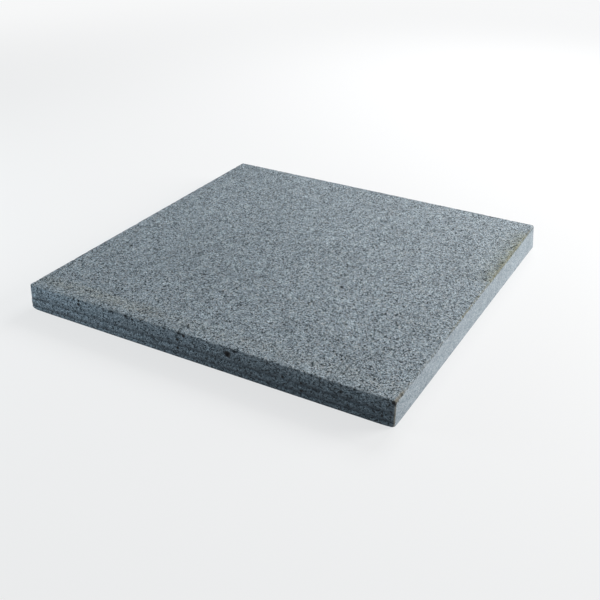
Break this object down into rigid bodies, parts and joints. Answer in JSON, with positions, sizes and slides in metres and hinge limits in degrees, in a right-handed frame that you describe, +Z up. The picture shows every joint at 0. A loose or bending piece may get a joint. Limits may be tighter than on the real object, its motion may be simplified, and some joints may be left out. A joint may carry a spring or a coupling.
{
  "type": "granite slab",
  "caption": "Square sawn granite slab with worn edges, saw grooves along one side, and flat faces above and below for leather tooling.",
  "frame": {"origin": "middle of the underside, where the slab rests on the bench", "axes": "+Z up through the slab's thickness, -Y out of the front face with the saw grooves, +X to the right along that face"},
  "size_m": [0.3, 0.3, 0.0204],
  "materials": {
    "stone": "sawn and lightly textured, matt, fine salt-and-pepper grain"
  },
  "bodies": {
    "root": {"slab": "stone"}
  },
  "joints": []
}
